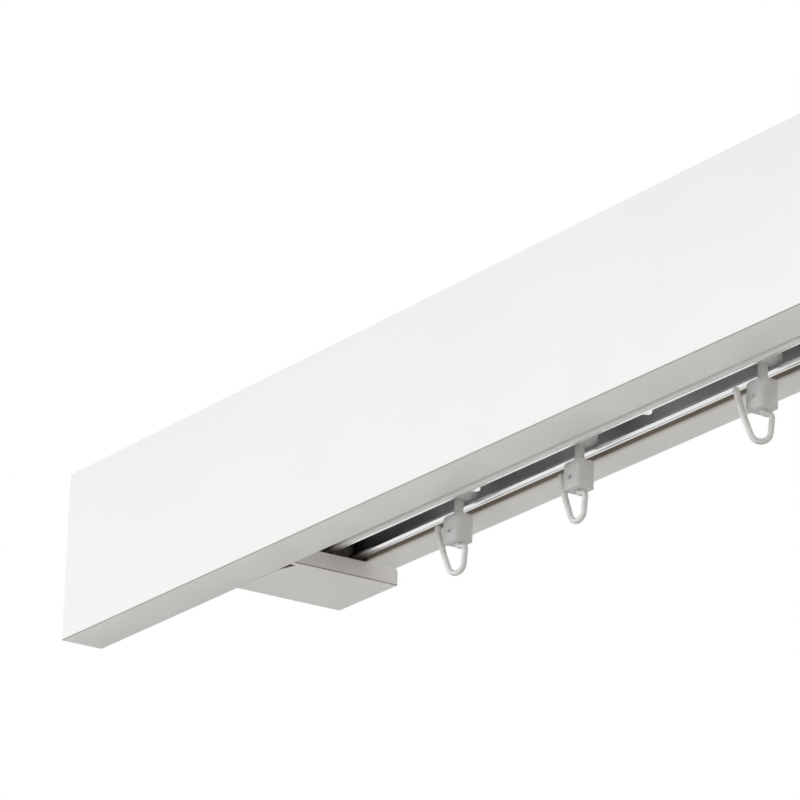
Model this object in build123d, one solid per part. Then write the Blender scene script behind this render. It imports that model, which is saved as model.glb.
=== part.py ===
from build123d import *
import os

# A lacquered curtain pelmet: a tall fascia board in front, an aluminium channel behind it in which
# plastic gliders run, and a board against the wall that carries everything.
# Millimetres. X runs along the track, Y points at the wall and Z is up. The origin lies on the wall
# face, half way along the rear board and half way up it.

# Boards
track_length = 800.0
fascia_height = 60.0
fascia_thickness = 16.0
depth_from_wall = 56.0
rear_board_height = 48.0
rear_board_thickness = 12.0
top_board_thickness = 12.0
cheek_thickness = 12.0
edge_broken = 0.6

# Bracket arms under each end
overhang = 90.0
arm_width = 36.0
arm_thickness = 6.0
arm_corner_radius = 1.7
nick_length = 8.5
nick_depth = 2.2
nick_inset = 2.5

# Aluminium channel
channel_width = 14.0
channel_height = 12.0
channel_wall = 1.2
channel_end_gap = 0.5
slot_width = 7.4
lip_bead_radius = 0.75
lip_groove = 0.3
channel_corner_radius = 0.8
seam_to_rear_board = 2.6

# Tabs lanced out of the front lip, a steep step on one side and a ramp on the other
tab_length = 7.6
tab_height = 1.55
tab_crest = 1.8
tab_shoulder = 1.35
tab_step = 0.4
tab_thickness = 1.1
tab_pitch = 96.0
first_tab_place = 209.0

# Gliders
running_gap = 0.3
swivel_clearance = 0.08
head_length = 13.0
head_width = 9.6
head_thickness = 1.3
head_rise = 2.2
head_corner = 2.8
stem_length_x = 3.0
stem_width_y = 2.6
stem_corner = 0.6
body_length_x = 8.8
body_width_y = 7.0
body_height = 9.4
body_corner_radius = 1.6
body_edge = 0.9
body_below_lips = 3.8
floor_thickness = 1.6
chamber_width = 5.0
chamber_height = 4.2
window_width = 1.6
window_height = 1.0

# Hooks, each one bent rod
rod_radius = 0.95
rod_bend_radius = 1.25
leg_offset = 3.1
leg_lean = 5.0
leg_length = 4.7
loop_radius = 3.0
free_arm_lean = 22.0
free_arm_length = 5.4
free_arm_curl_radius = 52.0
free_arm_curl = 9.0
rod_sides = 8
rod_chord_turn = 22.5
tip_radius = 1.2
tip_length = 2.4
rivet_radius = 2.1
rivet_height = 1.7
rivet_float = 0.3

# Where the gliders stand, measured from the left end of the fascia, and how far each hook is turned
shown_places = [196.0, 265.0, 363.0]
shown_turns = [23.0, 11.0, 57.0]
glider_pitch = 98.0
plain_turns = [4.0, 18.0, 9.0]
stop_length = 12.0
body_to_arm = 0.6

# Fasteners, drawn with flat sides
screw_sides = 10
screw_rim = 0.2
screw_clearance = 0.05
board_screw_radius = 1.75
board_screw_head_radius = 3.5
board_screw_length = 32.0
board_screw_inset = 40.0
board_screw_pitch = 172.0
channel_screw_radius = 1.5
channel_screw_head_radius = 2.9
channel_screw_head_height = 1.8
channel_screw_grip = 9.0
small_screw_radius = 1.25
small_screw_head_radius = 2.5
small_screw_length = 9.0

# Keyhole hangers let into the back of the rear board
hanger_inset = 60.0
hanger_length = 40.0
hanger_height = 20.0
hanger_thickness = 1.5
hanger_centre_z = 11.0
keyhole_radius = 4.5
keyhole_slot_radius = 2.4
keyhole_lift = 7.0
keyhole_drop = 3.0
pocket_depth = 7.0
pocket_clearance = 1.5
hanger_screw_inset = 5.0
hanger_corner = 2.0

# Levels and places that follow
arm_top = -rear_board_height / 2
fascia_bottom = arm_top - arm_thickness
fascia_top = fascia_bottom + fascia_height
board_top = rear_board_height / 2
fascia_front = -depth_from_wall
fascia_rear = fascia_front + fascia_thickness
rear_board_front = -rear_board_thickness
arm_end = track_length / 2 - overhang
cheek_inner = arm_end - cheek_thickness
arm_inner = arm_end - arm_width
channel_end = cheek_inner - channel_end_gap
channel_y = rear_board_front - seam_to_rear_board - channel_width / 2
channel_top = arm_top + channel_height
lip_top = arm_top + 2 * lip_bead_radius
top_board_top = channel_top + top_board_thickness
top_board_middle = channel_top + top_board_thickness / 2
keyhole_entry_z = hanger_centre_z - keyhole_drop
hanger_place = cheek_inner - hanger_inset

# Glider levels
head_bottom = lip_top + running_gap
body_top = arm_top - body_below_lips
body_bottom = body_top - body_height
chamber_floor = body_bottom + floor_thickness
run_level = body_bottom - running_gap - rod_radius

# Travel of the first and last glider: the head meets the end stop just before the body meets the arm
outer_limit = arm_inner - body_length_x / 2 - body_to_arm
stop_face = outer_limit + head_length / 2 + running_gap

# Screws from the wall face into the top board, with a channel screw half way between each two
board_screw_reach = cheek_inner - board_screw_inset
board_screw_gaps = max(1, round(2 * board_screw_reach / board_screw_pitch))
board_screw_step = 2 * board_screw_reach / board_screw_gaps
board_screw_places = [i * board_screw_step - board_screw_reach for i in range(board_screw_gaps + 1)]
channel_screw_places = [x + board_screw_step / 2 for x in board_screw_places[:-1]]

# Where every glider stands, from the middle of the track
glider_places = [place - track_length / 2 for place in shown_places]
while glider_places[-1] + glider_pitch < outer_limit - head_length:
    glider_places.append(glider_places[-1] + glider_pitch)
plain_count = len(glider_places) - len(shown_turns)
hook_turns = shown_turns + [plain_turns[i % len(plain_turns)] for i in range(plain_count)]


def block(x, y, z):
    """A box between two values along each axis."""
    size = [abs(high - low) for low, high in (x, y, z)]
    middle = [(low + high) / 2 for low, high in (x, y, z)]
    return Pos(*middle) * Box(*size)


def edges_along_x(solid, places):
    """The edges along X whose middle lies at one of the (y, z) places."""
    near = 1e-3
    found = []
    for edge in solid.edges().filter_by(Axis.X):
        middle = edge.center()
        if any(abs(middle.Y - y) < near and abs(middle.Z - z) < near for y, z in places):
            found.append(edge)
    return found


def flat_sided(radius, length, sides, end_inset, end_length):
    """A bar with flat sides, down from the XY plane, that narrows over its last stretch."""
    bar = extrude(RegularPolygon(radius, sides), -length)
    end = bar.faces().sort_by(Axis.Z)[0]
    return chamfer(end.edges(), end_inset, end_length, reference=end)


def shank(length, radius):
    """A screw's shank, down from the XY plane to its point."""
    return flat_sided(radius, length, screw_sides, 0.75 * radius, 2 * radius)


def countersunk_screw(length, radius, head_radius):
    """A countersunk screw with its flat head in the XY plane and its point down -Z."""
    cone = head_radius - radius
    head = flat_sided(head_radius, cone + screw_rim, screw_sides, cone, cone)
    return head + shank(length, radius)


def countersunk_hole(length, radius, head_radius):
    """The hole for a countersunk screw, a little wider all round."""
    slack = screw_clearance
    return countersunk_screw(length + 2 * slack, radius + slack, head_radius + slack)


def pan_screw(length, radius, head_radius, head_height):
    """A pan-head screw whose head lies below the XY plane and whose shank points up +Z."""
    crown = 0.35 * head_height
    head = flat_sided(head_radius, head_height, screw_sides, crown, crown)
    return head + Rot(180, 0, 0) * shank(length, radius)


def board_screw():
    """A long screw that joins two boards."""
    return countersunk_screw(board_screw_length, board_screw_radius, board_screw_head_radius)


def board_screw_hole():
    """The hole for a board screw."""
    return countersunk_hole(board_screw_length, board_screw_radius, board_screw_head_radius)


def small_screw():
    """A short screw for thin steel on wood."""
    return countersunk_screw(small_screw_length, small_screw_radius, small_screw_head_radius)


def small_screw_hole():
    """The hole for a short screw."""
    return countersunk_hole(small_screw_length, small_screw_radius, small_screw_head_radius)


def channel_screw():
    """A pan-head screw that holds the channel under the top board."""
    length = channel_wall + channel_screw_grip
    return pan_screw(length, channel_screw_radius, channel_screw_head_radius, channel_screw_head_height)


def channel_screw_hole():
    """The hole for a channel screw, through the channel's roof and into the board."""
    reach = channel_wall + channel_screw_grip + screw_clearance
    outline = RegularPolygon(channel_screw_radius + screw_clearance, screw_sides)
    return Pos(0, 0, -channel_wall) * extrude(outline, channel_wall + reach)


def board_screw_spots():
    """Screws through the rear board into the edge of the top board."""
    return [Location((x, 0, top_board_middle), (-90, 0, 0)) for x in board_screw_places]


def channel_screw_spots():
    """Screws through the channel's roof, from inside the channel."""
    roof_inside = channel_top - channel_wall
    return [Location((x, channel_y, roof_inside)) for x in channel_screw_places]


def hanger_screw_spots():
    """Screws at both ends of each hanger plate."""
    reach = hanger_length / 2 - hanger_screw_inset
    return [
        Location((side * hanger_place + step * reach, 0, hanger_centre_z), (-90, 0, 0))
        for side in (-1, 1)
        for step in (-1, 1)
    ]


def drill(solid, spots, hole):
    """Cuts the same hole at every spot."""
    for spot in spots:
        solid -= spot * hole
    return solid


def screws(spots, screw):
    """The same screw at every spot, as separate solids."""
    return Compound(children=[spot * screw for spot in spots])


def keyhole(entry_radius, slot_radius, depth):
    """A wide round entry with a slot above it, cut from the wall face away from the wall."""
    entry = Circle(entry_radius)
    slot = Pos(0, keyhole_lift / 2) * Rectangle(2 * slot_radius, keyhole_lift)
    end = Pos(0, keyhole_lift) * Circle(slot_radius)
    plane = Plane(origin=(0, 0, keyhole_entry_z), x_dir=(1, 0, 0), z_dir=(0, -1, 0))
    return extrude(plane * (entry + slot + end), depth)


def fascia_board():
    """The tall front board, its sharp edges just broken."""
    ends = (-track_length / 2, track_length / 2)
    board = block(ends, (fascia_front, fascia_rear), (fascia_bottom, fascia_top))
    return chamfer(board.edges(), edge_broken)


def rear_board():
    """The board against the wall, with a bed for each hanger and a pocket for the wall screw's head."""
    board = block((-cheek_inner, cheek_inner), (rear_board_front, 0), (arm_top, board_top))
    corners = [(y, z) for y in (rear_board_front, 0) for z in (arm_top, board_top)]
    board = fillet(edges_along_x(board, corners), edge_broken)
    half_length = hanger_length / 2 + screw_clearance
    half_height = hanger_height / 2 + screw_clearance
    bed_z = (hanger_centre_z - half_height, hanger_centre_z + half_height)
    pocket_radius = keyhole_radius + pocket_clearance
    pocket = keyhole(pocket_radius, pocket_radius, pocket_depth)
    for side in (-1, 1):
        x = side * hanger_place
        board -= block((x - half_length, x + half_length), (-hanger_thickness, 0), bed_z)
        board -= Pos(x, 0, 0) * pocket
    board = drill(board, hanger_screw_spots(), small_screw_hole())
    return drill(board, board_screw_spots(), board_screw_hole())


def top_board():
    """The board between the fascia and the rear board, from which the channel hangs."""
    board = block((-cheek_inner, cheek_inner), (fascia_rear, rear_board_front), (channel_top, top_board_top))
    board = drill(board, board_screw_spots(), board_screw_hole())
    return drill(board, channel_screw_spots(), channel_screw_hole())


def end_cheek(side):
    """The small board that closes one end of the pelmet above its bracket arm."""
    cheek = block((side * cheek_inner, side * arm_end), (fascia_rear, 0), (arm_top, board_top))
    outer = cheek.faces().sort_by(Axis.X)[0 if side < 0 else -1]
    return chamfer(outer.edges().filter_by(Axis.Y), edge_broken)


def bracket_arm(side):
    """The flat arm under one end, rounded at the wall and nicked where it meets the fascia."""
    arm = block((side * arm_inner, side * arm_end), (fascia_rear, 0), (fascia_bottom, arm_top))
    arm = fillet(edges_along_x(arm, [(0, arm_top)]), arm_corner_radius)
    nick_start = side * (arm_inner + nick_inset)
    nick_end = nick_start + side * nick_length
    nick = Polyline(
        (nick_start, fascia_rear),
        (nick_start, fascia_rear + nick_depth),
        (nick_end, fascia_rear),
        (nick_start, fascia_rear),
    )
    return arm - Pos(0, 0, fascia_bottom) * extrude(make_face(nick), arm_thickness, dir=(0, 0, 1))


def channel_section():
    """The channel's section, upright, open at the bottom between two beaded lips."""
    lip_thickness = 2 * lip_bead_radius
    outer = RectangleRounded(channel_width, channel_height, channel_corner_radius)
    inside_width = channel_width - 2 * channel_wall
    inside_height = channel_height - channel_wall - lip_thickness
    section = Pos(0, channel_height / 2) * outer
    section -= Pos(0, lip_thickness + inside_height / 2) * Rectangle(inside_width, inside_height)
    bead_middle = slot_width / 2 + lip_bead_radius
    section -= Pos(0, lip_bead_radius) * Rectangle(2 * bead_middle, lip_thickness)
    groove_width = inside_width / 2 - bead_middle
    for side in (-1, 1):
        bead = Pos(side * bead_middle, lip_bead_radius)
        groove = Pos(side * (bead_middle + groove_width / 2), lip_groove / 2)
        section -= groove * Rectangle(groove_width, lip_groove)
        section += bead * Circle(lip_bead_radius)
    return section


def lanced_tab():
    """One tab of the front lip, seen from above, with its steep step at the origin."""
    beyond_crest = 2 * tab_crest - tab_step
    outline = [
        Line((0, 0), (tab_step, tab_shoulder)),
        ThreePointArc((tab_step, tab_shoulder), (tab_crest, tab_height), (beyond_crest, tab_shoulder)),
        Polyline((beyond_crest, tab_shoulder), (tab_length, 0), (tab_length, -lip_bead_radius)),
        Polyline((tab_length, -lip_bead_radius), (0, -lip_bead_radius), (0, 0)),
    ]
    return extrude(make_face(outline), tab_thickness, dir=(0, 0, 1))


def c_track():
    """The aluminium channel, drilled for its screws, with tabs along its front lip."""
    plane = Plane(origin=(-channel_end, channel_y, arm_top), x_dir=(0, 1, 0), z_dir=(1, 0, 0))
    channel = extrude(plane * channel_section(), 2 * channel_end)
    tab = lanced_tab()
    tab_y = channel_y - slot_width / 2
    tab_z = arm_top + lip_bead_radius - tab_thickness / 2
    tab_x = first_tab_place - track_length / 2
    while tab_x + tab_length < outer_limit:
        channel += Pos(tab_x, tab_y, tab_z) * tab
        tab_x += tab_pitch
    return drill(channel, channel_screw_spots(), channel_screw_hole())


def end_stop(side):
    """A plug pushed into the channel's end, with a tongue that fills the slot."""
    x = (side * stop_face, side * (stop_face + stop_length))
    half_width = channel_width / 2 - channel_wall - screw_clearance
    half_slot = slot_width / 2 - screw_clearance
    top = channel_top - channel_wall - screw_clearance
    plug = block(x, (channel_y - half_width, channel_y + half_width), (lip_top + screw_clearance, top))
    plug = chamfer(plug.edges().filter_by(Axis.Z), edge_broken)
    return plug + block(x, (channel_y - half_slot, channel_y + half_slot), (arm_top, top))


def hanger_plate(side):
    """A steel keyhole plate, flush with the wall face."""
    x = side * hanger_place
    ends = (x - hanger_length / 2, x + hanger_length / 2)
    heights = (hanger_centre_z - hanger_height / 2, hanger_centre_z + hanger_height / 2)
    plate = block(ends, (-hanger_thickness, 0), heights)
    plate = chamfer(plate.edges().filter_by(Axis.Y), hanger_corner)
    plate -= Pos(x, 0, 0) * keyhole(keyhole_radius, keyhole_slot_radius, hanger_thickness)
    return drill(plate, hanger_screw_spots(), small_screw_hole())


def glider_head():
    """The glider's head: flat over the stem, with a wing that rises at each end."""
    half = head_length / 2
    flat = stem_length_x / 2
    tip_top = head_rise + head_thickness / 2
    side_view = Polyline(
        (-half, head_rise),
        (-flat, 0),
        (flat, 0),
        (half, head_rise),
        (half, tip_top),
        (flat, head_thickness),
        (-flat, head_thickness),
        (-half, tip_top),
        (-half, head_rise),
    )
    wings = extrude(Plane.XZ * make_face(side_view), head_width / 2, both=True)
    plan = chamfer(Rectangle(head_length, head_width).vertices(), head_corner)
    return Pos(0, 0, head_bottom) * (wings & extrude(plan, head_rise + head_thickness))


def glider():
    """A moulded glider, standing on the Z axis: head, stem and the hollow body under the lips."""
    body = extrude(RectangleRounded(body_length_x, body_width_y, body_corner_radius), body_height)
    body = chamfer(body.faces().sort_by(Axis.Z)[-1].edges(), body_edge)
    body = Pos(0, 0, body_bottom) * body
    stem = chamfer(Rectangle(stem_length_x, stem_width_y).vertices(), stem_corner)
    stem_height = head_bottom + head_thickness / 2 - body_top
    piece = body + glider_head() + Pos(0, 0, body_top) * extrude(stem, stem_height)
    upward = (Align.CENTER, Align.CENTER, Align.MIN)
    chamber = Box(chamber_width, chamber_width, chamber_height, align=upward)
    window = Pos(0, 0, chamber_height / 2) * Box(window_width, body_width_y, window_height)
    piece -= Pos(0, 0, chamber_floor) * (chamber + window)
    neck_hole = Cylinder(rod_radius + swivel_clearance, floor_thickness, align=upward)
    return piece - Pos(0, 0, body_bottom) * neck_hole


def hook_path():
    """The hook's centre line in the XZ plane, from the elbow under its neck, with its bends as chords."""
    loop_turn = 180 - leg_lean - free_arm_lean
    elbow = JernArc((0, run_level + rod_bend_radius), (0, -1), rod_bend_radius, 90)
    run = Line(elbow @ 1, (leg_offset - rod_bend_radius, run_level))
    drop = JernArc(run @ 1, run % 1, rod_bend_radius, -90 - leg_lean)
    leg = Line(drop @ 1, drop @ 1 + (drop % 1) * leg_length)
    bottom = JernArc(leg @ 1, leg % 1, loop_radius, -loop_turn)
    arm = Line(bottom @ 1, bottom @ 1 + (bottom % 1) * free_arm_length)
    curl = JernArc(arm @ 1, arm % 1, free_arm_curl_radius, -free_arm_curl)
    turns = ((elbow, 90), (run, 0), (drop, 90 + leg_lean), (leg, 0), (bottom, loop_turn), (arm, 0), (curl, 0))
    points = [elbow @ 0]
    for stretch, turn in turns:
        chords = max(1, round(turn / rod_chord_turn))
        points += [stretch @ (i / chords) for i in range(1, chords + 1)]
    return Plane.XZ * Polyline(points)


def hook():
    """A bent bar with flat sides: a round neck with a rivet on top, a leg, the loop and a free arm."""
    path = hook_path()
    outline = RegularPolygon(rod_radius, rod_sides, rotation=180 / rod_sides)
    start = Plane(origin=path @ 0, z_dir=path % 0)
    bar = sweep(start * outline, path=path, transition=Transition.RIGHT)
    neck_bottom = run_level + rod_bend_radius
    rivet_bottom = chamber_floor + rivet_float
    upward = (Align.CENTER, Align.CENTER, Align.MIN)
    neck = Pos(0, 0, neck_bottom) * Cylinder(rod_radius, rivet_bottom - neck_bottom, align=upward)
    shoulder = rivet_radius - rod_radius
    rivet = flat_sided(rivet_radius, rivet_height, rod_sides, shoulder, rivet_height - screw_rim)
    tip = flat_sided(tip_radius, tip_length, rod_sides, tip_radius / 2, tip_length / 2)
    tip_plane = Plane(origin=path @ 1, z_dir=-(path % 1))
    return bar + neck + Pos(0, 0, rivet_bottom) * Rot(180, 0, 0) * rivet + tip_plane * tip


os.makedirs("parts", exist_ok=True)

parts = {
    "fascia_board": fascia_board(),
    "rear_board": rear_board(),
    "top_board": top_board(),
    "c_track": c_track(),
    "board_screws": screws(board_screw_spots(), board_screw()),
    "channel_screws": screws(channel_screw_spots(), channel_screw()),
    "hanger_screws": screws(hanger_screw_spots(), small_screw()),
}
for side, name in ((-1, "left"), (1, "right")):
    parts[f"bracket_arm_{name}"] = bracket_arm(side)
    parts[f"end_cheek_{name}"] = end_cheek(side)
    parts[f"end_stop_{name}"] = end_stop(side)
    parts[f"hanger_plate_{name}"] = hanger_plate(side)

glider_shape = glider()
hook_shape = hook()
for number, (x, turn) in enumerate(zip(glider_places, hook_turns), 1):
    place = Pos(x, channel_y, 0)
    parts[f"glider_{number}"] = place * glider_shape
    parts[f"hook_{number}"] = place * Rot(0, 0, turn) * hook_shape

for name, shape in parts.items():
    export_step(shape, f"parts/{name}.step")
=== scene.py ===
"""A lacquered curtain pelmet with its channel, gliders and hooks, dressed and lit for its portrait.

Metres, in the frame of the solids: X along the track, Y into the wall and Z up. The origin lies on
the wall face, half way along the rear board and half way up it.
"""
import logging
from dataclasses import dataclass, field, replace
from enum import Enum
from math import cos, hypot, pi, radians, sin
from typing import Sequence

import bmesh
import bpy
from mathutils import Euler, Matrix, Quaternion, Vector


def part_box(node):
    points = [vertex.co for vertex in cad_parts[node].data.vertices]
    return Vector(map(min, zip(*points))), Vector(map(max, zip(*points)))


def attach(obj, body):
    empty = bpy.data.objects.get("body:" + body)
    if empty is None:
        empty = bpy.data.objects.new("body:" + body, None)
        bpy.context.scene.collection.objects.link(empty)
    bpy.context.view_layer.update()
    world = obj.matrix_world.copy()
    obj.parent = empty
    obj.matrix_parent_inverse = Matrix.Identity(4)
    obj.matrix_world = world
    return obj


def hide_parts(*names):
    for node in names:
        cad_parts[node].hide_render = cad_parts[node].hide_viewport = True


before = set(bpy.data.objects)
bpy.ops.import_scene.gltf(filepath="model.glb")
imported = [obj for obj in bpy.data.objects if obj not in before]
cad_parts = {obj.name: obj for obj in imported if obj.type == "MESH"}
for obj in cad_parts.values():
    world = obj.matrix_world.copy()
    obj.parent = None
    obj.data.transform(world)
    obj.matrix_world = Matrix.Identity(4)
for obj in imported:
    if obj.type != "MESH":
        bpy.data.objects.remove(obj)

log = logging.getLogger("curtain_track")

Material = bpy.types.Material
Node = bpy.types.Node
Object = bpy.types.Object
Socket = bpy.types.NodeSocket
Colour = tuple[float, float, float]
Place = tuple[float, float, float]
Span = tuple[float, float]
Feeds = dict[str | int, object]

MM = 0.001
RAIL = "rail"
WHITE = (1.0, 1.0, 1.0)


class Side(Enum):
    """The two ends of the track."""

    LEFT = -1
    RIGHT = 1

    def of(self, kind: str) -> str:
        """The name of the solid of a kind at this end."""
        return f"{kind}_{self.name.lower()}"

    def outwards(self, kind: str, *steps: float) -> list[float]:
        """Places along the track, counted outwards from the inner face of a solid at this end.

        Args:
            kind: The kind of solid.
            *steps: How far out each place lies, below zero where it lies further in.

        Returns:
            The places.
        """
        low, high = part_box(self.of(kind))
        inner = high.x if self is Side.LEFT else low.x
        return [inner + self.value * step for step in steps]


class Slot(Enum):
    """The record's material slots."""

    BOARD = "lacquered_board"
    CHANNEL = "white_aluminium"
    PLASTIC = "translucent_plastic"
    PLUG = "plug_plastic"
    STEEL = "zinc_steel"


@dataclass(frozen=True)
class Zone:
    """A box in the track's frame in which a finish changes.

    Attributes:
        low: The lowest corner.
        high: The highest corner.
        soft: How far the change takes, across the faces of the box.
    """

    low: Place
    high: Place
    soft: float


def zone_round(node: str, soft: float, grow: float = MM, **limits: Sequence[float]) -> Zone:
    """A zone round a solid, with its own limits along some of the axes.

    Args:
        node: The solid's name.
        soft: How far the zone's change takes.
        grow: How far the zone stands out from the solid's box.
        **limits: Two limits along x, y or z, in any order, in place of the box's.

    Returns:
        The zone.
    """
    ends = []
    for axis, low, high in zip("xyz", *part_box(node)):
        ends.append(sorted(limits.get(axis, (low - grow, high + grow))))
    return Zone(*zip(*ends), soft)


@dataclass(frozen=True)
class Mottle:
    """A cloudy pattern between 0 and 1, and the part of it in which a look changes.

    Attributes:
        scale: How many clouds lie on a metre.
        detail: How much finer cloud lies in them.
        low: The pattern's value where the change starts.
        high: Its value where the change ends.
        stretch: The scale along each axis, as a share.
    """

    scale: float
    detail: float = 3.0
    low: float = 0.3
    high: float = 0.7
    stretch: Place = (1.0, 1.0, 1.0)


def put(thing: object, **settings: object) -> object:
    """Sets some of a thing's properties.

    Args:
        thing: A node, a modifier or other data of Blender's.
        **settings: The properties and their values.

    Returns:
        The thing itself.
    """
    for name, value in settings.items():
        setattr(thing, name, value)
    return thing


class Graph:
    """A node tree with short calls that add, set and link its nodes."""

    def __init__(self, tree: bpy.types.NodeTree) -> None:
        """Keeps the tree that the calls work on."""
        self.tree = tree

    def feed(self, socket: Socket, value: object) -> None:
        """Links an input socket, or sets it to a constant.

        Args:
            socket: The input socket.
            value: An output socket, a list of them, or the constant.
        """
        if isinstance(value, list):
            for part in value:
                self.feed(socket, part)
        elif isinstance(value, Socket):
            self.tree.links.new(value, socket)
        else:
            socket.default_value = value

    def node(self, kind: str, feeds: Feeds | None = None, **settings: object) -> Node:
        """Adds a node.

        Args:
            kind: The node's type.
            feeds: What its inputs are fed with, by name or number.
            **settings: Its properties and their values.

        Returns:
            The new node.
        """
        made = put(self.tree.nodes.new(kind), **settings)
        for name, value in (feeds or {}).items():
            self.feed(made.inputs[name], value)
        return made

    def give(self, kind: str, feeds: Feeds | None = None, **settings: object) -> Socket:
        """Adds a node and gives its first output."""
        return self.node(kind, feeds, **settings).outputs[0]

    def math(self, operation: str, *values: object) -> Socket:
        """Works out one number from others."""
        return self.give("ShaderNodeMath", dict(enumerate(values)), operation=operation)

    def vector(self, operation: str, *values: object) -> Socket:
        """Works out one vector from others."""
        return self.give("ShaderNodeVectorMath", dict(enumerate(values)), operation=operation)

    def ramp(self, value: object, low: float, high: float, start: float, end: float) -> Socket:
        """Maps a number smoothly, to start where it is low and to end where it is high."""
        feeds = dict(enumerate((value, low, high, start, end)))
        return self.give("ShaderNodeMapRange", feeds, interpolation_type="SMOOTHSTEP")

    def blend(self, share: object, first: object, second: object) -> Socket:
        """Mixes two colours, with a share of the second."""
        ends = [c if isinstance(c, Socket) else (*c, 1.0) for c in (first, second)]
        return self.node("ShaderNodeMix", {0: share, 6: ends[0], 7: ends[1]}, data_type="RGBA").outputs[2]

    def seen(self) -> Socket:
        """A mask that is 1 where the eye looks, also through gloss and glass, and 0 for the light.

        Returns:
            The mask.
        """
        rays = self.node("ShaderNodeLightPath").outputs
        mask = self.math("MAXIMUM", rays["Is Camera Ray"], rays["Is Transmission Ray"])
        return self.math("MAXIMUM", mask, rays["Is Glossy Ray"])


class Surface(Graph):
    """A material's node tree: the place on the piece, patterns over it and the finished shader."""

    def __init__(self, name: str) -> None:
        """Starts an empty material.

        Args:
            name: The material's name.
        """
        self.material = bpy.data.materials.new(name)
        self.material.use_nodes = True
        super().__init__(self.material.node_tree)
        self.tree.nodes.clear()
        self.output = self.node("ShaderNodeOutputMaterial")
        self.place = self.node("ShaderNodeTexCoord").outputs["Object"]

    def noise(self, mottle: Mottle) -> Socket:
        """A cloudy pattern as it comes."""
        place = self.vector("MULTIPLY", self.place, mottle.stretch)
        return self.give("ShaderNodeTexNoise", {
            "Vector": place, "Scale": mottle.scale, "Detail": mottle.detail})

    def mottled(self, mottle: Mottle, start: float = 0.0, end: float = 1.0) -> Socket:
        """A cloudy pattern drawn out from one number to another."""
        return self.ramp(self.noise(mottle), mottle.low, mottle.high, start, end)

    def within(self, *zones: Zone) -> Socket:
        """A mask that is 1 inside any of some zones and 0 outside them all.

        Args:
            *zones: The zones, at least one.

        Returns:
            The mask.
        """
        whole = None
        for zone in zones:
            low, high = Vector(zone.low), Vector(zone.high)
            from_middle = self.vector("ABSOLUTE", self.vector("SUBTRACT", self.place, (low + high) / 2))
            beyond = self.vector("SUBTRACT", from_middle, (high - low) / 2)
            parts = self.node("ShaderNodeSeparateXYZ", {0: beyond}).outputs
            furthest = self.math("MAXIMUM", parts[0], self.math("MAXIMUM", parts[1], parts[2]))
            mask = self.ramp(furthest, -zone.soft / 2, zone.soft / 2, 1.0, 0.0)
            whole = mask if whole is None else self.math("MAXIMUM", whole, mask)
        return whole

    def relief(self, height: object, depth: float, under: Socket | None = None) -> Socket:
        """Raises a surface by a pattern, for the light alone.

        Args:
            height: The pattern, from 0 to 1.
            depth: How far 1 lies above 0.
            under: A normal that it lies on.

        Returns:
            The bent normal.
        """
        feeds = {"Height": height, "Distance": depth, "Strength": 1.0}
        if under is not None:
            feeds["Normal"] = under
        return self.give("ShaderNodeBump", feeds)

    def finish(self, **feeds: object) -> Material:
        """Puts the shader on and gives the material.

        Args:
            **feeds: The shader's sockets, with underscores for the spaces in their names.

        Returns:
            The material.
        """
        named = {name.replace("_", " "): value for name, value in feeds.items()}
        self.feed(self.output.inputs["Surface"], self.give("ShaderNodeBsdfPrincipled", named))
        return self.material


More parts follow.
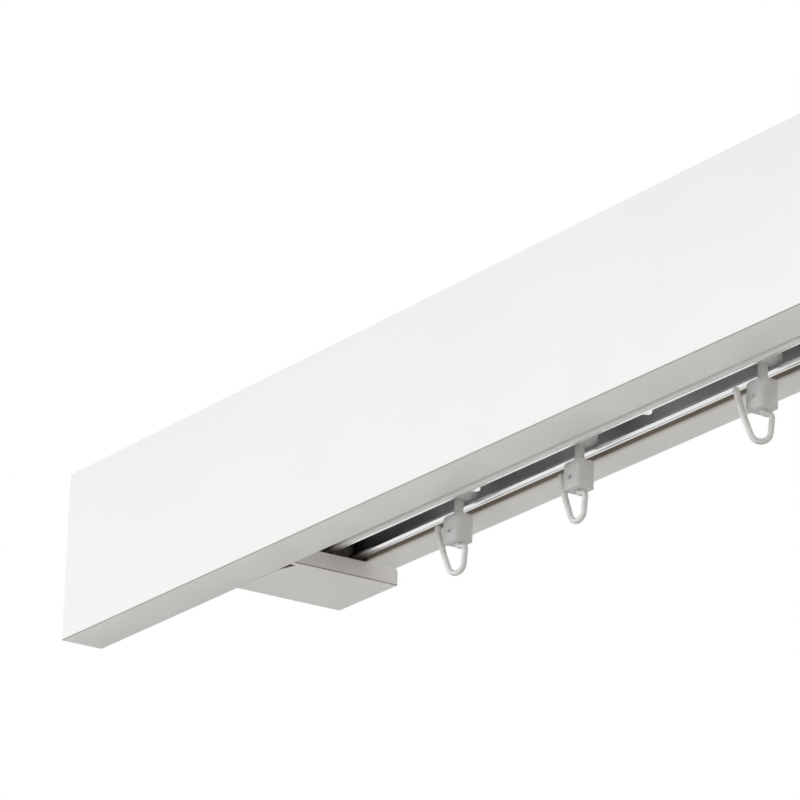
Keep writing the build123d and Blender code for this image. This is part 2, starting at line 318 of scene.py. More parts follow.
@dataclass(frozen=True)
class Lacquer:
    """Satin white lacquer, sprayed on fibreboard that shows brown where it is cut or left bare."""

    colour: Colour = (0.900, 0.903, 0.898)
    shade: Colour = (0.888, 0.891, 0.885)
    clouds: Mottle = Mottle(14.0, 4.0, 0.35, 0.68)
    speck_colour: Colour = (0.70, 0.69, 0.67)
    speck_scale: float = 900.0
    speck_size: float = 0.16
    speck_strength: float = 0.35
    speck_choice: Mottle = Mottle(279.0, 0.0, 0.56)
    bare_colour: Colour = (0.15, 0.078, 0.030)
    bare_shade: Colour = (0.24, 0.14, 0.065)
    # Painted shade: a near-black colour for the contact shadow where the rear board and the channel sit on
    # the arms.
    joint_shade_colour: Colour = (0.05, 0.038, 0.028)
    # Painted shade on the rear board's front face beside the channel; also a thin darker line along the
    # arms' lower edges.
    shade_and_edge_colour: Colour = (0.40, 0.335, 0.28)
    roughness: Span = (0.37, 0.48)
    bare_roughness: float = 0.48
    wear: Mottle = Mottle(45.0)
    peel: Mottle = Mottle(620.0, 2.0)
    peel_depth: float = 0.018 * MM
    fibres: Mottle = Mottle(2600.0, 4.0)
    fibre_depth: float = 0.12 * MM
    gloss: float = 0.45

    def material(self, name: str, bare: Sequence[Zone] = (), shaded_joints: Sequence[Zone] = (),
                 darkened: Sequence[Zone] = ()) -> Material:
        """Makes the finish for one board.

        Args:
            name: The material's name.
            bare: Where the board shows through, rougher by the bare roughness.
            shaded_joints: Where a joint is painted dark, as the shade between the parts.
            darkened: Where the lacquer takes the darker colour: painted shade beside the channel, and thin
                darker lines along lower edges.

        Returns:
            The material.
        """
        s = Surface(name)
        colour = s.blend(s.mottled(self.clouds), self.colour, self.shade)
        cells = s.node("ShaderNodeTexVoronoi", {"Vector": s.place, "Scale": self.speck_scale})
        dots = s.ramp(
            cells.outputs["Distance"], self.speck_size / 2, self.speck_size, self.speck_strength, 0.0
        )
        chosen = s.math("GREATER_THAN", s.noise(self.speck_choice), self.speck_choice.low)
        colour = s.blend(s.math("MULTIPLY", dots, chosen), colour, self.speck_colour)
        roughness = s.mottled(self.wear, *self.roughness)
        normal = s.relief(s.noise(self.peel), self.peel_depth)
        if bare:
            mask = s.within(*bare)
            wood = s.blend(s.mottled(self.fibres), self.bare_colour, self.bare_shade)
            colour = s.blend(mask, colour, wood)
            roughness = s.math("MULTIPLY_ADD", mask, self.bare_roughness, roughness)
            normal = s.relief(s.math("MULTIPLY", mask, s.noise(self.fibres)), self.fibre_depth, normal)
        # Painted shade at joints and beside the channel, and thin darker edge lines, laid over the lacquer.
        for places, darkening in ((shaded_joints, self.joint_shade_colour), (darkened, self.shade_and_edge_colour)):
            if places:
                colour = s.blend(s.within(*places), colour, darkening)
        return s.finish(Base_Color=colour, Roughness=roughness, Normal=normal, Specular_IOR_Level=self.gloss)


@dataclass(frozen=True)
class CoatedAluminium:
    """An extrusion, coated white under its front lip, polished along its beads and bare grey inside."""

    coat: Colour = (0.955, 0.953, 0.945)
    coat_shade: Colour = (0.93, 0.927, 0.918)
    clouds: Mottle = Mottle(30.0, 4.0, 0.35, 0.7)
    polish: Colour = (0.86, 0.862, 0.858)
    polish_shade: Colour = (0.74, 0.742, 0.738)
    bare: Colour = (0.53, 0.538, 0.53)
    bare_light: Colour = (0.71, 0.718, 0.71)
    patches: Mottle = Mottle(60.0, 3.0, 0.38, 0.66, (0.6, 1.0, 1.0))
    # Painted shade: a near-black colour laid over the channel towards its ends, standing in for the shade
    # there.
    dark: Colour = (0.020, 0.013, 0.007)
    coat_roughness: float = 0.42
    polish_roughness: float = 0.2
    bare_roughness: float = 0.4
    dark_roughness: float = 0.85
    lines: Mottle = Mottle(2400.0, 3.0, 0.3, 0.7, (0.004, 1.0, 1.0))
    line_depth: float = 0.004 * MM
    gloss: float = 0.4

    def material(self, name: str, inside: Zone, coated: Zone, painted_shade_zones: Sequence[Zone],
                 dark_ends: Sequence[Zone]) -> Material:
        """Makes the finish for the channel.

        Args:
            name: The material's name.
            inside: The hollow of the channel, where the metal is bare.
            coated: The flat of the front lip, which took the lacquer.
            painted_shade_zones: Where the inside is painted dark, as shade towards the channel's ends.
            dark_ends: Where the lips and the rest of the channel are painted as dark as that too, as shade.

        Returns:
            The material.
        """
        s = Surface(name)
        hollow, coat = s.within(inside), s.within(coated)
        # Painted shade: the inside near the end stops, and the whole channel nearer still, are darkened
        # towards near black.
        dark = s.math("MULTIPLY", s.within(*painted_shade_zones), hollow)
        dark = s.math("MAXIMUM", dark, s.within(*dark_ends))
        colour = s.blend(s.mottled(self.lines), self.polish, self.polish_shade)
        colour = s.blend(hollow, colour, s.blend(s.mottled(self.patches), self.bare, self.bare_light))
        colour = s.blend(coat, colour, s.blend(s.mottled(self.clouds), self.coat, self.coat_shade))
        colour = s.blend(dark, colour, self.dark)
        metal = s.math("SUBTRACT", 1.0, s.math("MAXIMUM", coat, dark))
        rougher = self.bare_roughness - self.polish_roughness
        roughness = s.math("MULTIPLY_ADD", hollow, rougher, self.polish_roughness)
        for mask, rough in ((coat, self.coat_roughness), (dark, self.dark_roughness)):
            roughness = s.math("MAXIMUM", roughness, s.math("MULTIPLY", mask, rough))
        normal = s.relief(s.noise(self.lines), self.line_depth)
        return s.finish(Base_Color=colour, Metallic=metal, Roughness=roughness, Normal=normal,
                        Specular_IOR_Level=self.gloss)


@dataclass(frozen=True)
class MilkyPlastic:
    """Moulded plastic that light enters and leaves again, cloudy and a little greyish."""

    colour: Colour = (0.96, 0.962, 0.95)
    cloud: Colour = (0.92, 0.922, 0.91)
    clouds: Mottle = Mottle(320.0, 4.0, 0.35, 0.68)
    roughness: Span = (0.34, 0.48)
    wear: Mottle = Mottle(900.0, 2.0)
    grain: Mottle = Mottle(1500.0)
    grain_depth: float = 0.02 * MM
    bend: float = 1.5
    depth: float = 2.6 * MM
    depth_shares: Colour = (1.0, 0.95, 0.9)
    subsurface: float = 0.7
    transmission: float = 0.48

    def material(self, name: str) -> Material:
        """Makes the finish under a name."""
        s = Surface(name)
        return s.finish(
            Base_Color=s.blend(s.mottled(self.clouds), self.colour, self.cloud),
            Roughness=s.mottled(self.wear, *self.roughness),
            Normal=s.relief(s.noise(self.grain), self.grain_depth),
            IOR=self.bend,
            Subsurface_Weight=self.subsurface,
            Subsurface_Radius=self.depth_shares,
            Subsurface_Scale=self.depth,
            Transmission_Weight=self.transmission,
        )


@dataclass(frozen=True)
class PlugPlastic:
    """Plain moulded plastic of an end stop."""

    colour: Colour = (0.78, 0.775, 0.75)
    shade: Colour = (0.70, 0.695, 0.67)
    clouds: Mottle = Mottle(500.0, 3.0, 0.35, 0.7)
    # Painted shade: a near-black colour laid, in mottled strength, over each plug's inner end, standing in
    # for the shade in the channel.
    painted_shade_colour: Colour = (0.045, 0.036, 0.027)
    darkening: Mottle = Mottle(260.0, 2.0, 0.2, 0.8)
    shade_shares: Span = (0.8, 1.0)
    roughness: Span = (0.5, 0.6)
    grain: Mottle = Mottle(2200.0, 2.0)
    grain_depth: float = 0.02 * MM

    def material(self, name: str, painted_shade_zones: Sequence[Zone]) -> Material:
        """Makes the finish.

        Args:
            name: The material's name.
            painted_shade_zones: Where the plug is painted dark, as shade at its inner end.

        Returns:
            The material.
        """
        s = Surface(name)
        clouds = s.mottled(self.clouds)
        # Painted shade over the plug's inner end.
        shaded = s.math("MULTIPLY", s.within(*painted_shade_zones), s.mottled(self.darkening, *self.shade_shares))
        return s.finish(
            Base_Color=s.blend(shaded, s.blend(clouds, self.colour, self.shade), self.painted_shade_colour),
            Roughness=s.ramp(clouds, 0.0, 1.0, *self.roughness),
            Normal=s.relief(s.noise(self.grain), self.grain_depth),
        )


@dataclass(frozen=True)
class ZincSteel:
    """Zinc plated steel with a fine brushed grain and a faint spangle."""

    colour: Colour = (0.66, 0.67, 0.68)
    shade: Colour = (0.52, 0.53, 0.55)
    spangle: Mottle = Mottle(700.0, 3.0, 0.3, 0.72)
    roughness: Span = (0.26, 0.46)
    wear: Mottle = Mottle(1300.0)
    grain: Mottle = Mottle(3500.0, 2.0, stretch=(0.05, 1.0, 1.0))
    grain_depth: float = 0.006 * MM

    def material(self, name: str) -> Material:
        """Makes the finish under a name."""
        s = Surface(name)
        return s.finish(
            Base_Color=s.blend(s.mottled(self.spangle), self.colour, self.shade),
            Metallic=1.0,
            Roughness=s.mottled(self.wear, *self.roughness),
            Normal=s.relief(s.noise(self.grain), self.grain_depth),
        )


class Former(Graph):
    """A geometry tree with named inputs that ends in real geometry with its material."""

    def __init__(self, name: str) -> None:
        """Starts a tree that takes geometry in and gives geometry out.

        Args:
            name: The tree's name.
        """
        super().__init__(bpy.data.node_groups.new(name, "GeometryNodeTree"))
        for way in ("INPUT", "OUTPUT"):
            self.tree.interface.new_socket("Geometry", in_out=way, socket_type="NodeSocketGeometry")
        self.values: dict[str, object] = {}
        self.start = self.node("NodeGroupInput")

    @property
    def given(self) -> Socket:
        """The geometry that the tree starts from."""
        return self.start.outputs["Geometry"]

    def take(self, name: str, kind: str, value: object) -> Socket:
        """Adds a named input.

        Args:
            name: The input's name.
            kind: What it holds, as in Float, Int, Vector, Object or Material.
            value: What the piece is made with.

        Returns:
            The input as a socket inside the tree.
        """
        made = self.tree.interface.new_socket(name, in_out="INPUT", socket_type=f"NodeSocket{kind}")
        self.values[made.identifier] = value
        return self.start.outputs[name]

    def part(self, name: str, piece: Object) -> Socket:
        """Adds a named input that holds an object and gives the object's geometry."""
        taken = self.take(name, "Object", piece)
        return self.node("GeometryNodeObjectInfo", {"Object": taken}).outputs["Geometry"]

    def run(self, host: Object, geometry: Socket, material: Material, name: str) -> Object:
        """Ends the tree, runs it on an object and keeps the result as a plain mesh.

        Args:
            host: The object that the tree starts from. It is used up.
            geometry: What the tree has made.
            material: The finish of all of it.
            name: The new piece's name.

        Returns:
            The new piece.
        """
        real = self.give("GeometryNodeRealizeInstances", {"Geometry": geometry})
        finish = self.take("Finish", "Material", material)
        dressed = self.give("GeometryNodeSetMaterial", {"Geometry": real, "Material": finish})
        self.node("NodeGroupOutput", {0: dressed})
        modifier = put(host.modifiers.new(name, "NODES"), node_group=self.tree)
        for identifier, value in self.values.items():
            modifier[identifier] = value
        return settle(host, name)


def set_out(data: bpy.types.ID, name: str) -> Object:
    """Puts a mesh, a curve, a lamp or a camera in the scene as an object at the origin.

    Args:
        data: The mesh or other data.
        name: The object's name, and the data's.

    Returns:
        The object.
    """
    data.name = name
    made = bpy.data.objects.new(name, data)
    bpy.context.scene.collection.objects.link(made)
    return made


def settle(source: Object, name: str) -> Object:
    """Makes a plain mesh of an object with its modifiers, and removes the object.

    Args:
        source: The object. It is used up.
        name: The new piece's name.

    Returns:
        The new piece, at the origin.
    """
    bpy.context.view_layer.update()
    graph = bpy.context.evaluated_depsgraph_get()
    evaluated = source.evaluated_get(graph)
    mesh = bpy.data.meshes.new_from_object(evaluated, preserve_all_data_layers=True, depsgraph=graph)
    mesh.transform(source.matrix_world)
    bpy.data.objects.remove(source)
    return set_out(mesh, name)


def mesh_of(shape: bmesh.types.BMesh, name: str) -> Object:
    """Makes an object of a shape in progress.

    Args:
        shape: The shape. It is used up.
        name: The object's name.

    Returns:
        The object.
    """
    mesh = bpy.data.meshes.new(name)
    shape.to_mesh(mesh)
    shape.free()
    return set_out(mesh, name)


def solid_copy(node: str) -> Object:
    """Copies a solid's mesh and joins its loose triangles.

    Args:
        node: The solid's name.

    Returns:
        The copy.
    """
    shape = bmesh.new()
    shape.from_mesh(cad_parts[node].data)
    bmesh.ops.remove_doubles(shape, verts=shape.verts, dist=0.001 * MM)
    bmesh.ops.dissolve_limit(shape, angle_limit=radians(0.4), verts=shape.verts, edges=shape.edges)
    return mesh_of(shape, f"{node}_blank")


@dataclass(frozen=True)
class Rounding:
    """How the sharp edges of a piece are rounded.

    Attributes:
        width: How wide the rounding is.
        faces: How many faces it has.
        angle: The least turn at an edge, in degrees, that is rounded.
    """

    width: float
    faces: int = 3
    angle: float = 40.0

    def soften(self, piece: Object) -> None:
        """Puts the rounding on a piece."""
        put(
            piece.modifiers.new("edges", "BEVEL"), width=self.width, segments=self.faces,
            limit_method="ANGLE", angle_limit=radians(self.angle), use_clamp_overlap=True,
            harden_normals=False, miter_outer="MITER_ARC",
        )


def shade(piece: Object, angle: float) -> None:
    """Shades a piece smooth, apart from the edges that turn by more than an angle in degrees."""
    piece.data.shade_smooth()
    piece.data.set_sharp_from_angle(angle=radians(angle))


def hand_over(piece: Object, body: str, node: str) -> None:
    """Gives a finished piece to the body that carries it and says what it stands for.

    Args:
        piece: The piece.
        body: The body that it moves with.
        node: The solid that it replaces.
    """
    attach(piece, body)
    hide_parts(node)
    log.info("%s: %d faces, on %s, stands for %s", piece.name, len(piece.data.polygons), body, node)


def fit(blank: Object, node: str, way: str, material: Material,
        rounding: Rounding | None = None, sharp: float = 40.0) -> None:
    """Finishes a fixed piece of the rail that keeps its solid's form.

    Args:
        blank: The form. It is used up.
        node: The solid that it stands for.
        way: How it is made, for its name.
        material: Its finish.
        rounding: How its edges are rounded, where they are.
        sharp: The turn at an edge, in degrees, from which it stays sharp.
    """
    if rounding:
        rounding.soften(blank)
    piece = settle(blank, f"{node}_{way}")
    shade(piece, sharp)
    piece.data.materials.append(material)
    hand_over(piece, RAIL, node)


@dataclass
class Pelmet:
    """The lacquered boards: fascia, rear board, top board, end cheeks and bracket arms."""

    lacquer: Lacquer = Lacquer()
    rounding: Rounding = Rounding(0.35 * MM, 3, 30.0)
    rounded_sharp: float = 50.0
    plain_sharp: float = 35.0
    pocket_margin: float = 0.3 * MM
    pocket_depth: float = 8.3 * MM
    pocket_rim: float = 0.02 * MM
    pocket_soft: float = 0.05 * MM
    bare_edge: float = 0.35 * MM
    bare_edge_length: float = 9.0 * MM
    # The painted contact shadow along the top of each arm, under the rear board and the channel.
    joint_shade_height: float = 0.3 * MM
    joint_shade_beyond: float = 2.0 * MM
    edge_reach: float = 0.15 * MM
    # The strip of painted shade on the rear board's front face beside the channel.
    strip_shade_level: float = 0.15 * MM
    strip_shade_soft: float = 1.0 * MM
    # A thin darker line along the fascia's lower front edge and along the arms' lower edges.
    edge_line_width: float = 0.34 * MM
    edge_line_colour: Colour = (0.40, 0.39, 0.375)
    # The nick is a flat patch of bare fibreboard colour; no notch is cut, so its darkness is also painted
    # shade.
    nick_depth: float = 2.4 * MM
    nick_inset: float = 1.5 * MM
    nick_length: float = 11.0 * MM
    nick_foot: float = 0.3 * MM
    nick_soft: float = 0.1 * MM

    def front_edge_line(self) -> Zone:
        """The fascia's lower front edge, where the lacquer takes a thin darker line.

        Returns:
            The zone.
        """
        low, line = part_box("fascia_board")[0], self.edge_line_width
        limits = {"y": (low.y - MM, low.y + line), "z": (low.z - MM, low.z + line)}
        return zone_round("fascia_board", line / 2, **limits)

    def rear_marks(self) -> dict[str, list[Zone]]:
        """The rear board's bare pockets for the hanger plates, and the strip of painted shade beside the
        channel.

        Returns:
            The zones of each kind of mark.
        """
        pockets = []
        for side in Side:
            plate = side.of("hanger_plate")
            depth = (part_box(plate)[0].y - self.pocket_depth, -self.pocket_rim)
            pockets.append(zone_round(plate, self.pocket_soft, self.pocket_margin, y=depth))
        # Painted shade over the rear board's front face, from just above its lower edge up to the channel's
        # top.
        low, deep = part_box("rear_board")[0], self.strip_shade_soft
        level = (low.z + self.strip_shade_level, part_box("c_track")[1].z)
        strip = zone_round("rear_board", deep, deep, y=(low.y - deep, low.y + deep), z=level)
        return {"bare": pockets, "darkened": [strip]}

    def arm_marks(self, side: Side) -> dict[str, list[Zone]]:
        """An arm's nick, a flat patch of bare fibreboard with painted shade, its bare upper edge, the
        painted contact shadow beyond it and a thin darker line along its lower edge.

        Args:
            side: The arm's end of the track.

        Returns:
            The zones of each kind of mark.
        """
        arm = side.of("bracket_arm")
        low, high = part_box(arm)
        edge = side.outwards("bracket_arm", -MM, self.edge_reach)
        turn = low.y + self.bare_edge_length
        # Bare fibreboard colour in a flat patch, standing in for a notch, with the notch's shade painted in.
        nick = zone_round(
            arm, self.nick_soft, y=(low.y - MM, low.y + self.nick_depth), z=(low.z + self.nick_foot, high.z),
            x=side.outwards("bracket_arm", self.nick_inset, self.nick_inset + self.nick_length),
        )
        line = zone_round(
            arm, self.edge_reach, x=edge, y=(low.y - MM, turn), z=(high.z - self.bare_edge, high.z + MM)
        )
        # Painted shade: the contact shadow along the arm's top, under the rear board and the channel.
        joint_shade = zone_round(
            arm, self.edge_reach, x=edge, y=(turn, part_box("c_track")[1].y + self.joint_shade_beyond),
            z=(high.z - self.joint_shade_height, high.z + MM),
        )
        # A thin darker line along the lower edge of the arm's inner face.
        edge_line = zone_round(
            arm, self.edge_line_width / 2, x=side.outwards("bracket_arm", -MM, self.edge_line_width),
            z=(low.z - MM, low.z + self.edge_line_width),
        )
        return {"bare": [nick, line], "shaded_joints": [joint_shade], "darkened": [edge_line]}

    def fascia(self) -> Object:
        """The front board as a plain box.

        Returns:
            The box.
        """
        low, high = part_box("fascia_board")
        shape = bmesh.new()
        bmesh.ops.create_cube(shape, size=1.0)
        bmesh.ops.scale(shape, vec=high - low, verts=shape.verts)
        bmesh.ops.translate(shape, vec=(low + high) / 2, verts=shape.verts)
        return mesh_of(shape, "fascia_blank")

    def build(self) -> None:
        """Makes and dresses every board."""
        # The fascia's lower front edge takes a thin darker line in its own colour.
        edge_line = replace(self.lacquer, shade_and_edge_colour=self.edge_line_colour)
        front = edge_line.material("lacquer_fascia", darkened=[self.front_edge_line()])
        fit(self.fascia(), "fascia_board", "lacquered", front, self.rounding, self.rounded_sharp)
        marks = {"rear_board": self.rear_marks(), "top_board": {}}
        marks |= {side.of("end_cheek"): {} for side in Side}
        marks |= {side.of("bracket_arm"): self.arm_marks(side) for side in Side}
        for node, places in marks.items():
            material = self.lacquer.material(f"lacquer_{node}", **places)
            fit(solid_copy(node), node, "lacquered", material, sharp=self.plain_sharp)


def arc(y: float, z: float, radius: float, start: float, turn: float, faces: int) -> list[Vector]:
    """Points along an arc about y and z, from an angle in degrees through a turn, its ends among them."""
    angles = [radians(start + turn * step / faces) for step in range(faces + 1)]
    return [Vector((y + radius * cos(angle), z + radius * sin(angle))) for angle in angles]


def head_half(node: str) -> float:
    """Half the width of the heads in a row of screws along the track."""
    low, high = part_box(node)
    return min(high.y - low.y, high.z - low.z) / 2


@dataclass
class Channel:
    """The aluminium extrusion, with beaded lips and tabs lanced out of the front one."""

    finish: CoatedAluminium = CoatedAluminium()
    wall: float = 1.2 * MM
    slot_width: float = 7.4 * MM
    bead_radius: float = 0.75 * MM
    bead_foot: float = 0.62
    bead_start: float = -52.0
    bead_turn: float = -256.0
    bead_faces: int = 12
    groove: float = 0.3 * MM
    corner_radius: float = 0.8 * MM
    corner_faces: int = 4
    fillet: float = 0.35 * MM
    fillet_faces: int = 3
    tab_length: float = 7.6 * MM
    tab_height: float = 1.55 * MM
    tab_thickness: float = 1.3 * MM
    tab_root: float = -0.62
    tab_step: float = 1.8 * MM
    tab_rise: tuple[Span, ...] = ((0.12, -0.1), (0.34, 0.45), (0.62, 0.82), (1.0, 1.0))
    tab_fall_faces: int = 12
    tab_rim: float = 0.42
    tab_pitch: float = 96.0 * MM
    tab_count: int = 5
    first_tab: float = -191.0 * MM
    drill_radius: float = 1.55 * MM
    skin: float = 0.7
    hollow_foot: float = 1.9
    hollow_soft: float = 0.1 * MM
    coat_reach: float = 1.7
    coat_height: float = 4.0 * MM
    coat_soft: float = 0.2 * MM
    # How far the painted shade reaches into the channel from each end stop, and how softly it fades.
    inner_shade_reach: float = 20.0 * MM
    inner_shade_soft: float = 44.0 * MM
    dark_reach: float = 11.0 * MM
    dark_soft: float = 15.0 * MM

    def __post_init__(self) -> None:
        """Reads the channel's box from the frame."""
        self.low, self.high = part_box("c_track")
        self.middle = (self.low.y + self.high.y) / 2

    def half_section(self) -> list[Vector]:
        """Half of the section's outline, from the middle of the roof outside to the middle inside.

        Returns:
            Points across the channel and above its lips.
        """
        half = (self.high.y - self.low.y) / 2
        height = self.high.z - self.low.z
        r, b, f = self.corner_radius, self.bead_radius, self.fillet
        inner = half - self.wall
        bead = self.slot_width / 2 + b
        points = arc(half - r, height - r, r, 90.0, -90.0, self.corner_faces)
        points += arc(half - r, r, r, 0.0, -90.0, self.corner_faces)
        points += [Vector((inner, 0.0)), Vector((inner - f / 3, self.groove))]
        points += [Vector((bead + self.bead_foot * b, self.groove))]
        points += arc(bead, b, b, self.bead_start, self.bead_turn, self.bead_faces)
        points += [Vector((inner - f, 2 * b))]
        points += arc(inner - f, 2 * b + f, f, -90.0, 90.0, self.fillet_faces)
        points += arc(inner - f, height - self.wall - f, f, 0.0, 90.0, self.fillet_faces)
        return points

    def section(self) -> Object:
        """The section as one flat face at the channel's left end.

        Returns:
            The face, as an object.
        """
        half = self.half_section()
        outline = half + [Vector((-p.x, p.y)) for p in reversed(half)]
        shape = bmesh.new()
        corners = [shape.verts.new((self.low.x, self.middle + p.x, self.low.z + p.y)) for p in outline]
        face = shape.faces.new(corners)
        shape.normal_update()
        if face.normal.x < 0:
            face.normal_flip()
        return mesh_of(shape, "channel_section")

    def tab(self) -> Object:
        """One lanced tab with a rounded rim, its steep step at its own origin.

        Returns:
            The tab, as an object.
        """
        height, root = self.tab_height, self.tab_root * self.tab_height
        outline = [(0.0, root)] + [(x * self.tab_step, y * height) for x, y in self.tab_rise]
        for step in range(1, self.tab_fall_faces + 1):
            share = step / self.tab_fall_faces
            along = self.tab_step + share * (self.tab_length - self.tab_step)
            outline.append((along, root + (1 + cos(pi * share)) / 2 * (height - root)))
        shape = bmesh.new()
        face = shape.faces.new([shape.verts.new((x, y, -self.tab_thickness / 2)) for x, y in outline])
        swept = bmesh.ops.extrude_face_region(shape, geom=[face])
        moved = [v for v in swept["geom"] if isinstance(v, bmesh.types.BMVert)]
        bmesh.ops.translate(shape, vec=(0, 0, self.tab_thickness), verts=moved)
        bmesh.ops.recalc_face_normals(shape, faces=shape.faces)
        tab = mesh_of(shape, "lanced_tab")
        Rounding(self.tab_rim * self.tab_thickness, 4, 50.0).soften(tab)
        return settle(tab, "lanced_tab")

    def drills(self) -> Object:
        """The holes for the channel's screws, as rods to cut with.

        Returns:
            The rods, as one object.
        """
        low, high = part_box("channel_screws")
        half = head_half("channel_screws")
        r = self.drill_radius
        shape = bmesh.new()
        for x in (low.x + half, 0.0, high.x - half):
            place = Matrix.Translation((x, self.middle, self.high.z - self.wall / 2))
            bmesh.ops.create_cone(
                shape, cap_ends=True, segments=24, radius1=r, radius2=r, depth=4 * self.wall, matrix=place
            )
        return mesh_of(shape, "channel_drills")

    def end_zones(self, reach: float, soft: float) -> list[Zone]:
        """The stretches of the channel by its end stops.

        Args:
            reach: How far they reach past the end stop.
            soft: How far they take to fade out along the channel.

        Returns:
            The zones.
        """
        zones = []
        for side, outer in ((Side.LEFT, self.low.x), (Side.RIGHT, self.high.x)):
            ends = (outer + side.value * soft, *side.outwards("end_stop", -reach))
            zones.append(zone_round("c_track", soft, soft, x=ends))
        return zones

    def material(self) -> Material:
        """Makes the channel's finish, with its hollow, its coated lip and painted shade towards its ends.

        Returns:
            The material.
        """
        skin = self.skin * self.wall
        inside = zone_round(
            "c_track", self.hollow_soft, y=(self.low.y + skin, self.high.y - skin),
            z=(self.low.z + self.hollow_foot * self.bead_radius, self.high.z - skin),
        )
        coat_end = self.middle - self.slot_width / 2 - self.coat_reach * self.bead_radius
        coated = zone_round(
            "c_track", self.coat_soft, y=(self.low.y - MM, coat_end),
            z=(self.low.z - MM, self.low.z + self.coat_height),
        )
        # Painted shade towards both ends: inside the channel, and over all of it nearer the end stops.
        painted_shade_zones = self.end_zones(self.inner_shade_reach, self.inner_shade_soft)
        dark_ends = self.end_zones(self.dark_reach, self.dark_soft)
        return self.finish.material("coated_aluminium", inside, coated, painted_shade_zones, dark_ends)

    def build(self) -> None:
        """Makes the channel: the section drawn out, the tabs raised along it and the holes drilled."""
        former = Former("channel")
        length = former.take("Length", "Float", self.high.x - self.low.x)
        pitch = former.take("Tab pitch", "Float", self.tab_pitch)
        count = former.take("Tabs", "Int", self.tab_count)
        start = (self.first_tab, self.middle - self.slot_width / 2, self.low.z + self.bead_radius)
        first = former.take("First tab", "Vector", start)
        helpers = {"Tab": self.tab(), "Drills": self.drills()}
        tab, drills = (former.part(name, helper) for name, helper in helpers.items())
        along = former.give("ShaderNodeCombineXYZ", {0: length})
        drawn = former.give("GeometryNodeExtrudeMesh", {
            "Mesh": former.given, "Offset": along, "Offset Scale": 1.0, "Individual": False})
        near_end = former.give("GeometryNodeFlipFaces", {"Mesh": former.given})
        joined = former.give("GeometryNodeJoinGeometry", {0: [drawn, near_end]})
        bar = former.give("GeometryNodeMergeByDistance", {"Geometry": joined, "Distance": 0.001 * MM})
        step = former.give("ShaderNodeCombineXYZ", {0: pitch})
        places = former.give("GeometryNodeMeshLine", {
            "Count": count, "Start Location": first, "Offset": step}, mode="OFFSET")
        tabs = former.give("GeometryNodeInstanceOnPoints", {"Points": places, "Instance": tab})
        tabs = former.give("GeometryNodeRealizeInstances", {"Geometry": tabs})
        cut = "GeometryNodeMeshBoolean"
        united = former.give(cut, {"Mesh 2": [bar, tabs]}, operation="UNION", solver="EXACT")
        bored = former.give(
            cut, {"Mesh 1": united, "Mesh 2": drills}, operation="DIFFERENCE", solver="EXACT"
        )
        piece = former.run(self.section(), bored, self.material(), "channel_extrusion")
        for helper in helpers.values():
            bpy.data.objects.remove(helper)
        shade(piece, 40.0)
        hand_over(piece, RAIL, "c_track")


@dataclass
class EndStop:
    """A moulded plug in each end of the channel."""

    finish: PlugPlastic = PlugPlastic()
    rounding: Rounding = Rounding(0.3 * MM)
    # How far the painted shade reaches from each plug's inner end.
    shade_depth: float = 5.0 * MM

    def build(self) -> None:
        """Makes and dresses both plugs, with painted shade at their inner ends as in the channel."""
        painted_shade_zones = []
        for side in Side:
            ends = side.outwards("end_stop", -MM, self.shade_depth)
            painted_shade_zones.append(zone_round(side.of("end_stop"), MM, x=ends))
        material = self.finish.material("plug_plastic", painted_shade_zones)
        for side in Side:
            node = side.of("end_stop")
            fit(solid_copy(node), node, "moulded", material, self.rounding)


class Head(Enum):
    """How a screw's head sits on what it holds."""

    COUNTERSUNK = "countersunk"
    PAN = "pan"


